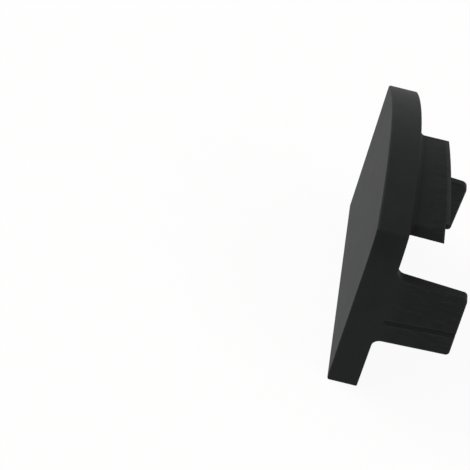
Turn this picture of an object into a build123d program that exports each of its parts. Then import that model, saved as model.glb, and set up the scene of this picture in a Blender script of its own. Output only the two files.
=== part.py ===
from build123d import *
from math import atan, cos, sin, sqrt
import os

# End cap for a framing profile, moulded in one piece. The plate covers the profile's cut
# end, the curved rib goes in under its arched wall, and two tongues slide into its slots.
#
# +X runs along the plate's width, +Y runs into the profile, and +Z is up. The origin is at
# the middle of the plate's back face, which seats on the cut end.

# Plate
plate_width = 40.0
plate_thickness = 4.5
crown_height = 31.3             # lower edge to the top of the arch
short_side_height = 24.95       # lower edge to the left end of the arch
arch_radius = 47.25
side_straight_height = 22.8     # lower edge to where the right side starts to lean in
side_lean_radius = 19.0
short_corner_radius = 0.4
tall_corner_radius = 0.55
front_edge_radius = 0.3
back_edge_radius = 0.2

# Rib behind the arch
rib_inset = 1.0                 # from the arch to the rib's outer face
rib_thickness = 2.2
rib_left_gap = 16.9             # plate's left edge to the rib's free end
rib_right_gap = 4.0             # plate's right edge to the rib's other end
rib_left_reach = 4.3            # behind the plate, at the free end
rib_right_reach = 5.5           # behind the plate, at the other end
rib_back_climb = 0.5            # the rib's back face climbs this much towards its inner face
rib_edge_radius = 0.3           # on the lip's crest and round both ends
rib_root_radius = 0.7

# Lip on the rib's back face, along its outer edge
lip_height = 0.6
lip_width = 0.75
lip_setback = 1.4               # from the rib's right end

# Tongues
tongue_upper_taper = 0.8        # drop of the upper edge from root to tip
tongue_lower_taper = 0.5        # rise of the lower edge from root to tip
tongue_lower_corner = 0.6
tongue_edge_radius = 0.35
tongue_root_radius = 1.2
right_tongue_thickness = 1.75
right_tongue_bottom = 9.6       # plate's lower edge to the tongue's, at the root
right_tongue_height = 12.3      # at the root
right_tongue_upper_reach = 10.5
right_tongue_lower_reach = 10.85
right_tongue_upper_corner = 0.7
left_tongue_thickness = 1.6
left_tongue_bottom = 6.5
left_tongue_height = 10.35
left_tongue_upper_reach = 10.95
left_tongue_lower_reach = 10.65
left_tongue_upper_corner = 1.0
left_tongue_gap = 7.2           # plate's left edge to the tongue's outer face

# Groove along the right tongue's outer face
groove_height = 3.8             # tongue's lower edge to the groove's middle, at the root
groove_rise = 0.8               # from root to tip
groove_start = 0.9              # behind the plate
groove_radius = 0.5
groove_depth = 0.3

left_edge = -plate_width / 2
right_edge = plate_width / 2
sunk = plate_thickness / 2      # how far the rib and tongues start inside the plate
arch_centre_z = crown_height - arch_radius
arch_centre_x = left_edge + sqrt(arch_radius**2 - (short_side_height - arch_centre_z) ** 2)
rib_from = left_edge + rib_left_gap
rib_to = right_edge - rib_right_gap
rib_outer_radius = arch_radius - rib_inset
touching = 0.001                # nearer than this counts as touching


def plate():
    """One arch between a short side and a tall side that leans in near its top."""
    blank_height = side_straight_height + side_lean_radius
    blank = Pos(0, blank_height / 2) * Rectangle(plate_width, blank_height)
    tall_corner = blank.vertices().sort_by_distance((right_edge, blank_height))[0]
    blank = fillet(tall_corner, side_lean_radius)
    outline = blank & Pos(arch_centre_x, arch_centre_z) * Circle(arch_radius)
    peak = outline.vertices().sort_by_distance((right_edge, blank_height))[0]
    outline = fillet(peak, tall_corner_radius)
    short_corner = outline.vertices().sort_by_distance((left_edge, short_side_height))[0]
    outline = fillet(short_corner, short_corner_radius)
    solid = extrude(Plane.XZ * outline, plate_thickness)
    return fillet(solid.faces().sort_by(Axis.Y)[0].edges(), front_edge_radius)


def ring_stretch(section, x_from, x_to):
    """Turns a section about the arch's centre and keeps one stretch along the width.

    The section's X is the radius, and its Y the height over the lip's crest. The axis leans
    so that the crest stands further from the plate at the rib's right end.
    """
    slope = (rib_right_reach - rib_left_reach) / (rib_to - rib_from)
    lean = atan(slope)
    crest_y = rib_left_reach + slope * (arch_centre_x - rib_from)
    centre = (arch_centre_x, crest_y, arch_centre_z)
    section_plane = Plane(origin=centre, x_dir=(0, 0, -1), z_dir=(cos(lean), sin(lean), 0))
    ring = revolve(section_plane * section, Axis(centre, (-sin(lean), cos(lean), 0)), 360)
    middle = ((x_from + x_to) / 2, 0, arch_centre_z + arch_radius)
    return ring & Pos(middle) * Box(x_to - x_from, plate_width, arch_radius)


def rib():
    """A curved wall parallel to the arch, with a lip that stops short of its right end."""
    inner_radius = rib_outer_radius - rib_thickness
    foot = -rib_right_reach - sunk
    wall = Polygon(
        (inner_radius, foot),
        (rib_outer_radius, foot),
        (rib_outer_radius, -lip_height),
        (inner_radius, rib_back_climb - lip_height),
        align=None,
    )
    lip = Pos(rib_outer_radius - lip_width / 2, -lip_height) * Rectangle(lip_width, 2 * lip_height)
    lip_end = rib_to - lip_setback
    solid = ring_stretch(wall, rib_from, rib_to) + ring_stretch(lip, rib_from, lip_end)
    faces = solid.faces().sort_by(Axis.X)
    end_edges = [edge for edge in faces[0].edges() + faces[-1].edges() if edge.center().Y > -sunk]
    crest_edges = solid.faces().sort_by(Axis.Y)[-1].edges()
    long_edges = [edge for edge in crest_edges if rib_from + touching < edge.center().X < lip_end - touching]
    return fillet(end_edges + long_edges, rib_edge_radius)


def tongue(left_x, thickness, bottom, height, lower_reach, upper_reach, upper_corner):
    """A flat tongue that tapers to a rounded tip, standing square behind the plate."""
    top = bottom + height
    lower_slope = tongue_lower_taper / lower_reach
    upper_slope = tongue_upper_taper / upper_reach
    side = Polygon(
        (-sunk, bottom - lower_slope * sunk),
        (lower_reach, bottom + tongue_lower_taper),
        (upper_reach, top - tongue_upper_taper),
        (-sunk, top + upper_slope * sunk),
        align=None,
    )
    lower_tip = side.vertices().sort_by_distance((lower_reach, bottom))[0]
    side = fillet(lower_tip, tongue_lower_corner)
    upper_tip = side.vertices().sort_by_distance((upper_reach, top))[0]
    side = fillet(upper_tip, upper_corner)
    solid = Pos(left_x, 0, 0) * extrude(Plane.YZ * side, thickness)
    broad_faces = solid.faces().filter_by(Axis.X)
    inner_faces = [face for face in broad_faces if face.center().X < right_edge - touching]
    border = [edge for face in inner_faces for edge in face.edges() if edge.center().Y > -sunk]
    return fillet(border, tongue_edge_radius)


def blend_root(solid, piece, radius):
    """Rounds the inside corner where a piece stands on the plate's back face."""
    seat = solid.faces().filter_by_position(Axis.Y, -touching, touching).sort_by(SortBy.AREA)[-1]
    root = [edge for edge in seat.edges() if piece.distance_to(edge.center()) < touching]
    return fillet(root, radius)


def round_back_edge(solid, rim):
    """Rounds the plate's back edge, which runs on round the flush tongue's outer face."""
    on_rim = [edge for edge in solid.edges() if rim.distance_to(edge.center()) < touching]
    side_face = solid.faces().filter_by(Axis.X).sort_by(Axis.X)[-1]
    round_tongue = [edge for edge in side_face.edges() if edge.center().Y > touching]
    return fillet(on_rim + round_tongue, back_edge_radius)


def groove():
    """A round-bottomed groove that runs out at the right tongue's tip."""
    start = (
        right_edge + groove_radius - groove_depth,
        groove_start,
        right_tongue_bottom + groove_height,
    )
    bar = Plane(origin=start, z_dir=(0, right_tongue_lower_reach, groove_rise)) * Cylinder(
        groove_radius, 2 * right_tongue_lower_reach, align=(Align.CENTER, Align.CENTER, Align.MIN)
    )
    return bar + Pos(start) * Sphere(groove_radius)


cap_plate = plate()
cap_rib = rib()
right_tongue = tongue(
    right_edge - right_tongue_thickness,
    right_tongue_thickness,
    right_tongue_bottom,
    right_tongue_height,
    right_tongue_lower_reach,
    right_tongue_upper_reach,
    right_tongue_upper_corner,
)
left_tongue = tongue(
    left_edge + left_tongue_gap,
    left_tongue_thickness,
    left_tongue_bottom,
    left_tongue_height,
    left_tongue_lower_reach,
    left_tongue_upper_reach,
    left_tongue_upper_corner,
)

cap = cap_plate + cap_rib + right_tongue + left_tongue
cap = blend_root(cap, cap_rib, rib_root_radius)
cap = blend_root(cap, right_tongue, tongue_root_radius)
cap = blend_root(cap, left_tongue, tongue_root_radius)
cap = round_back_edge(cap, cap_plate.faces().sort_by(Axis.Y)[-1].outer_wire())
cap -= groove()

os.makedirs("parts", exist_ok=True)
export_step(Pos(0, 0, -crown_height / 2) * cap, "parts/end_cap.step")
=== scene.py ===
from math import radians

import bpy
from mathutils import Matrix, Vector


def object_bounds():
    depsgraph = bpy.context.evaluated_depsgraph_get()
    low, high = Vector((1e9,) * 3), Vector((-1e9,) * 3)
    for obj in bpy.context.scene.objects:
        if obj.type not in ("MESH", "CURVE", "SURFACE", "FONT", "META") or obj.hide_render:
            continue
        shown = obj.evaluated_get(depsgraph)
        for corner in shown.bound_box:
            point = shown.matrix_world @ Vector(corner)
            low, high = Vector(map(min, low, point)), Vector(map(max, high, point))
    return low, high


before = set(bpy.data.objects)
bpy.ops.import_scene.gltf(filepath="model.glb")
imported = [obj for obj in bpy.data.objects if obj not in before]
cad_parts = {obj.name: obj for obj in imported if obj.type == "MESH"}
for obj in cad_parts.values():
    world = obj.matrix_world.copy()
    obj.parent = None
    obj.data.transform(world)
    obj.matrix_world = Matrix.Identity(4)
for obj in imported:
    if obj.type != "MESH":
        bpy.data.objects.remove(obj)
cad_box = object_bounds()


# ---- End cap ----
# One moulding in black plastic: an arched plate with a curved rib and two flat tongues
# behind it. The mould was spark-eroded, so every face has the same fine satin grain.

mm = 0.001
grain_size = 0.18 * mm
grain_depth = 0.02 * mm
rub_and_highlight_width = 0.5 * mm             # how far the rubbing and the painted edge highlight reach from an edge
rub_and_highlight_from = 0.995                 # cosine of the bend at which an edge starts to be rubbed and highlighted
rub_and_highlight_fully = 0.93                 # and of a bend sharp enough for full rubbing and highlight
seated_depth = 0.5 * mm             # no rubbing or painted highlight this near the plate's back face
bare_depth = 1.0 * mm               # full rubbing and painted highlight from here
inserted_from = 0.5 * mm            # behind the plate, where the marks of fitting start
inserted_fully = 2.5 * mm           # and where they are at their full strength
left_tongue_side = -8 * mm          # the left tongue lies to the left of this
rib_side = -4 * mm                  # and the rib and right tongue to the right of this
tongues_top = 7 * mm                # behind the plate, only the rib is higher
lip_foot = 3.9 * mm                 # behind the plate, at the middle of its width
lip_foot_blur = 0.15 * mm
lip_rise = 1.2 / 19.1               # how much deeper the lip is for each millimetre to the right
corner_reach = 1.5 * mm             # how far the painted shade reaches out of an inside corner
foot_from = 0.2 * mm                # painted shade lies thick along the rib's foot this far behind the plate
foot_thins = 0.3 * mm               # thins out from here
foot_end = 2.2 * mm                 # and ends here

deep_black = (0.0036, 0.0050, 0.0045, 1)
soft_black = (0.0062, 0.0082, 0.0074, 1)
scuff_black = (0.0014, 0.0020, 0.0018, 1)
# painted shade, for the inside corners and the rib's foot
painted_shade_black = (0.0010, 0.0013, 0.0012, 1)
score_grey = (0.0130, 0.0145, 0.0138, 1)
# painted light, for the left tongue
left_tongue_light_grey = (0.0190, 0.0225, 0.0210, 1)
# painted highlight, for the lip
lip_highlight_grey = (0.0190, 0.0245, 0.0220, 1)
# real rubbing, and a painted highlight along the edges
rub_and_highlight_grey = (0.0220, 0.0240, 0.0225, 1)

end_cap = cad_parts["end_cap"]
black_plastic = bpy.data.materials.new("moulded_black_plastic")
black_plastic.use_nodes = True
nodes = black_plastic.node_tree.nodes
links = black_plastic.node_tree.links
nodes.clear()

# A dull satin sheen, weaker than on polished plastic.
surface = nodes.new("ShaderNodeBsdfPrincipled")
surface.inputs["IOR"].default_value = 1.46
surface.inputs["Specular IOR Level"].default_value = 0.16
surface_out = nodes.new("ShaderNodeOutputMaterial")
links.new(surface.outputs["BSDF"], surface_out.inputs["Surface"])

# Where a point is on the cap, and which way its face looks.
place = nodes.new("ShaderNodeTexCoord")
where = nodes.new("ShaderNodeSeparateXYZ")
links.new(place.outputs["Object"], where.inputs["Vector"])
facing = nodes.new("ShaderNodeSeparateXYZ")
links.new(place.outputs["Normal"], facing.inputs["Vector"])


def noise(size, detail, roughness, length=1):
    """Noise with features about size metres across, and length times that along the tongues."""
    stretch = nodes.new("ShaderNodeVectorMath")
    stretch.operation = "MULTIPLY"
    stretch.inputs[1].default_value = (1 / size, 1 / size / length, 1 / size)
    links.new(place.outputs["Object"], stretch.inputs[0])
    node = nodes.new("ShaderNodeTexNoise")
    node.inputs["Scale"].default_value = 1
    node.inputs["Detail"].default_value = detail
    node.inputs["Roughness"].default_value = roughness
    links.new(stretch.outputs["Vector"], node.inputs["Vector"])
    return node.outputs["Fac"]


def spread(value, low_in, high_in, low_out, high_out):
    """Maps one range of a value onto another."""
    node = nodes.new("ShaderNodeMapRange")
    node.inputs["From Min"].default_value = low_in
    node.inputs["From Max"].default_value = high_in
    node.inputs["To Min"].default_value = low_out
    node.inputs["To Max"].default_value = high_out
    links.new(value, node.inputs["Value"])
    return node.outputs["Result"]


def product(first, second):
    """Multiplies two values."""
    node = nodes.new("ShaderNodeMath")
    node.operation = "MULTIPLY"
    links.new(first, node.inputs[0])
    links.new(second, node.inputs[1])
    return node.outputs["Value"]


def feed(value, socket):
    """Links another node's output to a socket, or sets the socket to a fixed value."""
    if isinstance(value, tuple):
        socket.default_value = value
    else:
        links.new(value, socket)


def dot(first, second):
    """How far one direction runs along another."""
    node = nodes.new("ShaderNodeVectorMath")
    node.operation = "DOT_PRODUCT"
    feed(first, node.inputs[0])
    feed(second, node.inputs[1])
    return node.outputs["Value"]


# The edges are rubbed paler in patches by handling, and the same pale band is a painted highlight
# along the rounded edges. Neither reaches where the plate's back edge seats on the profile.
# An edge is where a face's direction differs from the average nearby.
softened = nodes.new("ShaderNodeBevel")
softened.samples = 8
softened.inputs["Radius"].default_value = rub_and_highlight_width
shape = nodes.new("ShaderNodeNewGeometry")
bend = dot(softened.outputs["Normal"], shape.outputs["Normal"])
edge = spread(bend, rub_and_highlight_from, rub_and_highlight_fully, 0.0, 1.0)
depth_squared = product(where.outputs["Y"], where.outputs["Y"])
clear_of_seat = spread(depth_squared, seated_depth**2, bare_depth**2, 0.0, 1.0)
edge_patches = product(clear_of_seat, spread(noise(1.5 * mm, 4, 0.65), 0.35, 0.65, 0.4, 0.9))
rubbed_and_highlit_edges = product(edge, edge_patches)

# What slides into the profile is scuffed darker, except for the rib's ends, and the ends
# that go in first are rubbed. Thin pale scores run along the tongues' broad faces. The left
# tongue is painted paler all over in patches, as painted light for the light that reaches it.
behind_plate = spread(where.outputs["Y"], inserted_from, inserted_fully, 0.0, 1.0)
on_rib = spread(where.outputs["Z"], tongues_top, tongues_top + 1 * mm, 0.0, 1.0)
sideways = product(facing.outputs["X"], facing.outputs["X"])
broad_face = spread(sideways, 0.6, 0.9, 0.0, 1.0)
on_tongue = product(behind_plate, broad_face)
inserted = product(behind_plate, spread(where.outputs["X"], left_tongue_side, rib_side, 0.3, 1.0))
sliding = product(inserted, spread(product(on_rib, broad_face), 0.0, 1.0, 1.0, 0.0))
scuffed = product(sliding, spread(noise(0.7 * mm, 3, 0.6, 3), 0.42, 0.58, 0.4, 1.0))
scored = product(on_tongue, spread(noise(0.25 * mm, 2, 0.5, 12), 0.58, 0.7, 0.0, 0.6))
on_left_tongue = product(on_tongue, spread(where.outputs["X"], left_tongue_side, rib_side, 1.0, 0.0))
left_tongue_painted_light = product(on_left_tongue, spread(noise(0.6 * mm, 3, 0.6, 5), 0.35, 0.65, 0.4, 0.85))
leading = product(behind_plate, spread(facing.outputs["Y"], 0.2, 0.7, 0.0, 0.4))

# The lip's outer side snaps in behind the profile's wall. Its upward-facing part is painted
# paler in patches, as a painted highlight.
along_lip = dot(place.outputs["Object"], (-lip_rise, 1, 0))
past_foot = spread(along_lip, lip_foot - lip_foot_blur, lip_foot + lip_foot_blur, 0.0, 1.0)
on_lip = product(past_foot, spread(facing.outputs["Z"], 0.1, 0.5, 0.0, 1.0))
painted_lip_highlight = product(product(on_lip, on_rib), spread(noise(2 * mm, 3, 0.5), 0.35, 0.65, 0.35, 0.65))

# Painted shade darkens the inside corners, and lies in a band along the rib's foot.
corner = nodes.new("ShaderNodeAmbientOcclusion")
corner.samples = 8
corner.only_local = True
corner.inputs["Distance"].default_value = corner_reach
painted_corner_shade = spread(corner.outputs["AO"], 0.3, 0.75, 0.85, 0.0)
past_edge = spread(where.outputs["Y"], 0.0, foot_from, 0.0, 1.0)
along_foot = product(past_edge, spread(where.outputs["Y"], foot_thins, foot_end, 0.9, 0.0))
painted_foot_shade = product(on_rib, along_foot)


def blend(amount, colour, shade):
    """Lays a shade over a colour, which is itself a shade or the result of a blend."""
    node = nodes.new("ShaderNodeMix")
    node.data_type = "RGBA"
    links.new(amount, node.inputs["Factor"])
    feed(colour, node.inputs[6])
    feed(shade, node.inputs[7])
    return node.outputs[2]


# The black itself varies a little where the melt flowed. The marks lie over it: real scuffs,
# scores and rubbing, and painted light, highlights and shade.
flowed = spread(noise(4 * mm, 4, 0.6), 0.3, 0.7, 0.0, 1.0)
colour = blend(flowed, deep_black, soft_black)
for mark, shade in (
    (scuffed, scuff_black),
    (scored, score_grey),
    (left_tongue_painted_light, left_tongue_light_grey),
    (leading, rub_and_highlight_grey),
    (painted_lip_highlight, lip_highlight_grey),
    (rubbed_and_highlit_edges, rub_and_highlight_grey),
    (painted_foot_shade, painted_shade_black),
    (painted_corner_shade, painted_shade_black),
):
    colour = blend(mark, colour, shade)
links.new(colour, surface.inputs["Base Color"])
links.new(spread(noise(3 * mm, 4, 0.6), 0.3, 0.7, 0.595, 0.625), surface.inputs["Roughness"])

# The spark-eroded grain.
grain = nodes.new("ShaderNodeBump")
grain.inputs["Strength"].default_value = 0.35
grain.inputs["Distance"].default_value = grain_depth
links.new(noise(grain_size, 3, 0.6), grain.inputs["Height"])
links.new(grain.outputs["Normal"], surface.inputs["Normal"])

end_cap.data.materials.clear()
end_cap.data.materials.append(black_plastic)


# ---- Floor and backdrop ----
# A wide sheet of white card on the table, lit from all round. Seen directly or in a
# reflection it is plain white, and it keeps the cap's soft shadow.

card_reach = 1.5
card_lit_share = 0.08               # how much of what is seen is the card as the lamps light it

low = cad_box[0]
sheet = bpy.data.meshes.new("table_card")
sheet.from_pydata(
    [
        (-card_reach, -card_reach, low.z),
        (card_reach, -card_reach, low.z),
        (card_reach, card_reach, low.z),
        (-card_reach, card_reach, low.z),
    ],
    [],
    [(0, 1, 2, 3)],
)
table_card = bpy.data.objects.new("table_card", sheet)
bpy.context.scene.collection.objects.link(table_card)


def seen(tree):
    """1 for rays from the eye, a mirror or glass, and 0 for the rays that light things."""
    rays = tree.nodes.new("ShaderNodeLightPath")
    total = rays.outputs["Is Camera Ray"]
    for name in ("Is Glossy Ray", "Is Transmission Ray"):
        either = tree.nodes.new("ShaderNodeMath")
        either.operation = "MAXIMUM"
        tree.links.new(total, either.inputs[0])
        tree.links.new(rays.outputs[name], either.inputs[1])
        total = either.outputs[0]
    return total


white_card = bpy.data.materials.new("white_card")
white_card.use_nodes = True
card_nodes = white_card.node_tree.nodes
card_links = white_card.node_tree.links
paper = card_nodes["Principled BSDF"]
paper.inputs["Base Color"].default_value = (0.9, 0.9, 0.9, 1)
paper.inputs["Roughness"].default_value = 0.8
paper.inputs["Specular IOR Level"].default_value = 0.0
plain_white = card_nodes.new("ShaderNodeEmission")
plain_white.inputs["Strength"].default_value = 1.0
white_share = card_nodes.new("ShaderNodeMath")
white_share.operation = "MULTIPLY"
white_share.inputs[1].default_value = 1 - card_lit_share
card_links.new(seen(white_card.node_tree), white_share.inputs[0])
mixed = card_nodes.new("ShaderNodeMixShader")
card_links.new(white_share.outputs[0], mixed.inputs["Fac"])
card_links.new(paper.outputs["BSDF"], mixed.inputs[1])
card_links.new(plain_white.outputs["Emission"], mixed.inputs[2])
card_links.new(mixed.outputs["Shader"], card_nodes["Material Output"].inputs["Surface"])
sheet.materials.append(white_card)


# ---- Room and lamps ----
# An even white room with two soft lamp panels, a little warmer than it: one in front of the
# plate and above it, and a weaker one behind, to one side.

room_light = 0.55                   # what the room's walls give the cap
room_white = 1.0                    # and how bright they look

room = bpy.data.worlds.new("studio")
bpy.context.scene.world = room
room.use_nodes = True
walls = room.node_tree.nodes["Background"]
walls.inputs["Color"].default_value = (1, 1, 1, 1)
room_level = room.node_tree.nodes.new("ShaderNodeMapRange")
room_level.inputs["To Min"].default_value = room_light
room_level.inputs["To Max"].default_value = room_white
room.node_tree.links.new(seen(room.node_tree), room_level.inputs["Value"])
room.node_tree.links.new(room_level.outputs["Result"], walls.inputs["Strength"])


def soft_lamp(name, place, size, watts):
    """A square panel that faces the cap, with its place and size in metres."""
    panel = bpy.data.lights.new(name, "AREA")
    panel.size = size
    panel.energy = watts
    panel.color = (1, 0.98, 0.93)
    lamp = bpy.data.objects.new(name, panel)
    lamp.location = place
    lamp.rotation_euler = (-Vector(place)).to_track_quat("-Z", "Y").to_euler()
    bpy.context.scene.collection.objects.link(lamp)


soft_lamp("front_lamp", (-0.15, -0.45, 0.4), 0.3, 2.2)
soft_lamp("back_lamp", (0.3, 0.4, 0.2), 0.4, 0.7)


# ---- Camera ----
# Above the cap's taller side and a little in front of it. It is rolled, so that the plate
# leans to the right, and the cap stands at the right of the picture.

camera = bpy.data.cameras.new("camera")
camera.sensor_width = 36
camera.lens = 133.85
camera.clip_start = 0.01
camera.clip_end = 10
viewer = bpy.data.objects.new("camera", camera)
viewer.location = Vector((200.234, -30.012, 162.644)) * mm
viewer.rotation_euler = (radians(48.1912), radians(-11.4557), radians(97.7933))
bpy.context.scene.collection.objects.link(viewer)
bpy.context.scene.camera = viewer
bpy.context.scene.view_settings.view_transform = "Standard"
